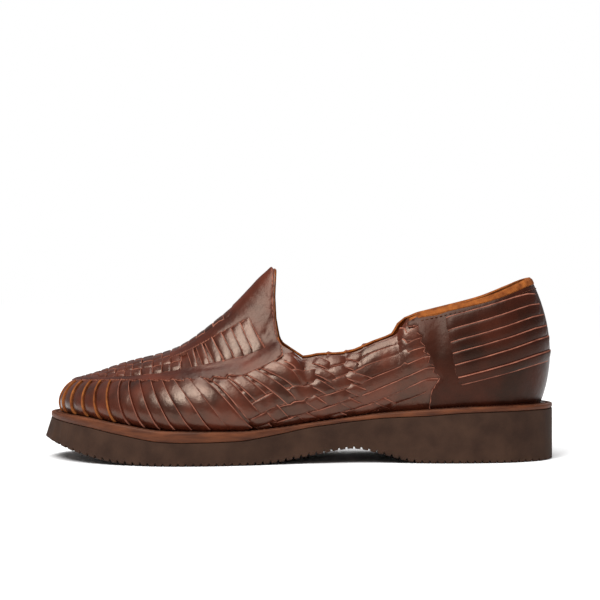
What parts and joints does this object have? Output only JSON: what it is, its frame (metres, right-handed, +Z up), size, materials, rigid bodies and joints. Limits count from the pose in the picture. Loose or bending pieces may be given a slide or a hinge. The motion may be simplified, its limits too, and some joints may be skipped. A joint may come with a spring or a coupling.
{
  "type": "woven leather slip-on shoe (huarache), left",
  "caption": "Closed-toe woven leather slip-on shoe with a raised tongue, a lapped heel counter and a thick grooved sole; it stands empty.",
  "frame": {"origin": "on the floor, under the middle of the whole shoe's box", "axes": "+X towards the heel, -X towards the toe; +Y towards the inner side of the foot, -Y the outer side; +Z up"},
  "size_m": [0.294, 0.105, 0.1056],
  "materials": {
    "outsole_rubber": "matt",
    "midsole_leather": "satin",
    "insole_leather": "matt",
    "upper_leather": "polished",
    "tongue_leather": "polished",
    "counter_leather": "polished",
    "strip_leather": "polished"
  },
  "bodies": {
    "root": {"outsole": "outsole_rubber", "midsole": "midsole_leather", "insole": "insole_leather", "upper": "upper_leather", "tongue": "tongue_leather", "heel_counter": "counter_leather", "heel_strip_lateral_1": "strip_leather", "heel_strip_lateral_2": "strip_leather", "heel_strip_lateral_3": "strip_leather", "heel_strip_lateral_4": "strip_leather", "heel_strip_lateral_5": "strip_leather", "heel_strip_lateral_6": "strip_leather", "heel_strip_medial_1": "strip_leather", "heel_strip_medial_2": "strip_leather", "heel_strip_medial_3": "strip_leather", "heel_strip_medial_4": "strip_leather", "heel_strip_medial_5": "strip_leather", "heel_strip_medial_6": "strip_leather"}
  },
  "joints": []
}
